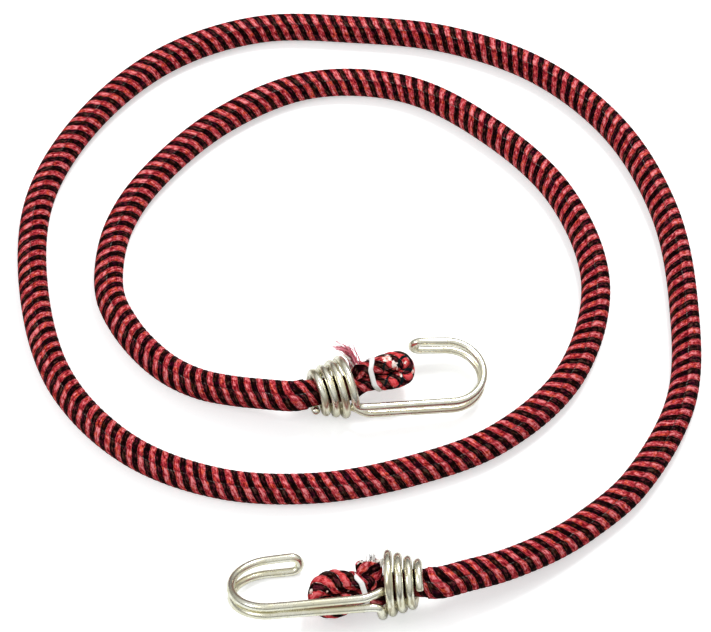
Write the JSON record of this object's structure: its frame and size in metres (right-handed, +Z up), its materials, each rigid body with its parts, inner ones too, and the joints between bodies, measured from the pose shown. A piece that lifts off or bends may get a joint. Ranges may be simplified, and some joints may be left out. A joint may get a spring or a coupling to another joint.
{
  "type": "bungee_cord",
  "caption": "Elastic luggage cord with a braided red and black cover, a bent-wire double hook gripping each end, and the cord folded back beyond each coil and tied.",
  "frame": {"origin": "On the surface the cord lies on, under the middle of the box of the two hooked ends.", "axes": "+Z up from the surface; +X to the right and +Y away, as the cord lies in the picture."},
  "size_m": [0.1856, 0.2008, 0.0176],
  "materials": {
    "braid": "woven yarn in red and black stripes",
    "rubber": "matte natural rubber thread",
    "band": "matte white",
    "wire": "bright drawn wire with a pale yellowish zinc plating"
  },
  "bodies": {
    "cord": {"cover_main": "braid", "core_strand_0": "rubber", "core_strand_1": "rubber", "core_strand_2": "rubber", "core_strand_3": "rubber", "core_strand_4": "rubber", "core_strand_5": "rubber", "core_strand_6": "rubber", "cover_flex_a": "braid", "core_flex_a": "rubber", "cover_flex_b": "braid", "core_flex_b": "rubber"},
    "end_a": {"end_cover_a": "braid", "end_core_a": "rubber", "band_a": "band"},
    "hook_a": {"hook_a": "wire"},
    "end_b": {"end_cover_b": "braid", "end_core_b": "rubber", "band_b": "band"},
    "hook_b": {"hook_b": "wire"}
  },
  "joints": [
    {"name": "end_a_lift", "type": "hinge", "parent": "cord", "child": "end_a", "pos_m": [-0.0505, 0.0345, 0.0044], "axis": [0.2419, -0.9703, 0], "range_deg": [0, 45], "deforming": ["cover_flex_a", "core_flex_a"]},
    {"name": "hook_a_turn", "type": "hinge", "parent": "end_a", "child": "hook_a", "pos_m": [-0.0137, 0.0247, 0.00887], "axis": [0.9679, 0.2413, -0.0698], "range_deg": [0, 170]},
    {"name": "end_b_lift", "type": "hinge", "parent": "cord", "child": "end_b", "pos_m": [0.0525, -0.0158, 0.0044], "axis": [0.0087, 1, 0], "range_deg": [0, 45], "deforming": ["cover_flex_b", "core_flex_b"]},
    {"name": "hook_b_turn", "type": "hinge", "parent": "end_b", "child": "hook_b", "pos_m": [0.0156, -0.0316, 0.00975], "axis": [-0.9975, 0.0087, -0.0698], "range_deg": [0, 150]}
  ]
}
